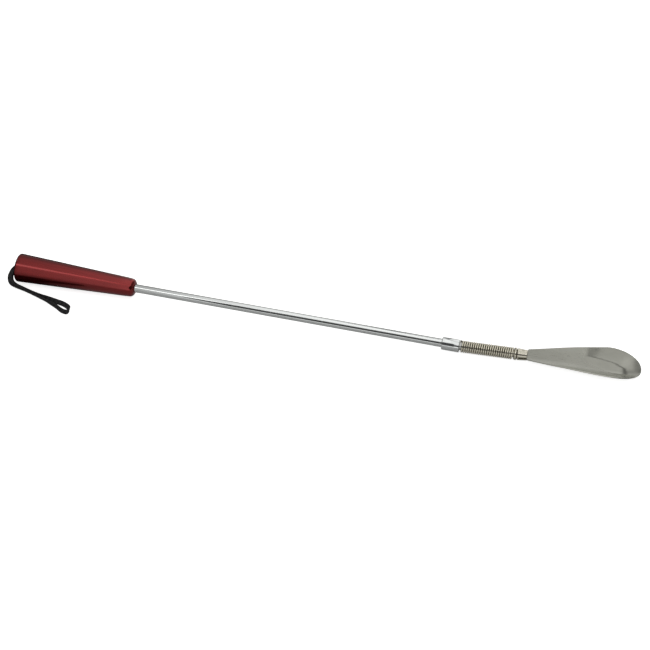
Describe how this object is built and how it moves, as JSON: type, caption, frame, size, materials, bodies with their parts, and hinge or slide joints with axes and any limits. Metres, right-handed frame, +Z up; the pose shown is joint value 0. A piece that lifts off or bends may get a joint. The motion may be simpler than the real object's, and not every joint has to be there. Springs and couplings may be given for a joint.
{
  "type": "long shoehorn",
  "caption": "Long-handled shoehorn with a tapered grip and wrist strap, a straight metal tube, a flexible coil-spring neck and a spoon-shaped metal blade",
  "frame": {"origin": "centre of the bounding box's base, on the surface that the shoehorn lies on; the butt's rim and the neck's bead touch it", "axes": "+X runs from the grip's butt to the blade's tip, +Y is across to the side that the neck is set to, +Z is up, out of the blade's hollow"},
  "size_m": [0.6084, 0.0682, 0.0274],
  "materials": {
    "grip": "glossy dark cherry red",
    "anchor": "dark moulded plastic",
    "steel": "plain turned steel",
    "chromed_tube": "bright chrome plating",
    "spring_wire": "nickel-plated spring wire",
    "nickel": "bright nickel plating",
    "blade_steel": "satin steel sheet",
    "lace": "flat woven black lace"
  },
  "bodies": {
    "shaft": {"handle_grip": "grip", "butt_cap": "grip", "tube_anchor": "anchor", "anchor_pin": "steel", "shaft_tube": "chromed_tube", "ferrule": "chromed_tube", "spring_stud": "steel", "strap_knot": "lace", "wrist_strap": "lace"},
    "coil": {"spring": "spring_wire"},
    "blade_end": {"neck_stud": "nickel", "tang_pin": "nickel", "blade": "blade_steel"}
  },
  "joints": [
    {"name": "neck_bend_up_down", "type": "hinge", "parent": "shaft", "child": "coil", "pos_m": [0.14977, -0.00639, 0.00638], "axis": [-0.061, 0.9981, 0.001], "range_deg": [-45, 45], "stiffness_Nm_per_rad": 1, "deforming": ["spring"]},
    {"name": "neck_bend_sideways", "type": "hinge", "parent": "coil", "child": "blade_end", "pos_m": [0.16674, -0.00535, 0.0061], "axis": [0.0164, 0, 0.9999], "range_deg": [-45, 45], "stiffness_Nm_per_rad": 1, "deforming": ["spring"]}
  ]
}
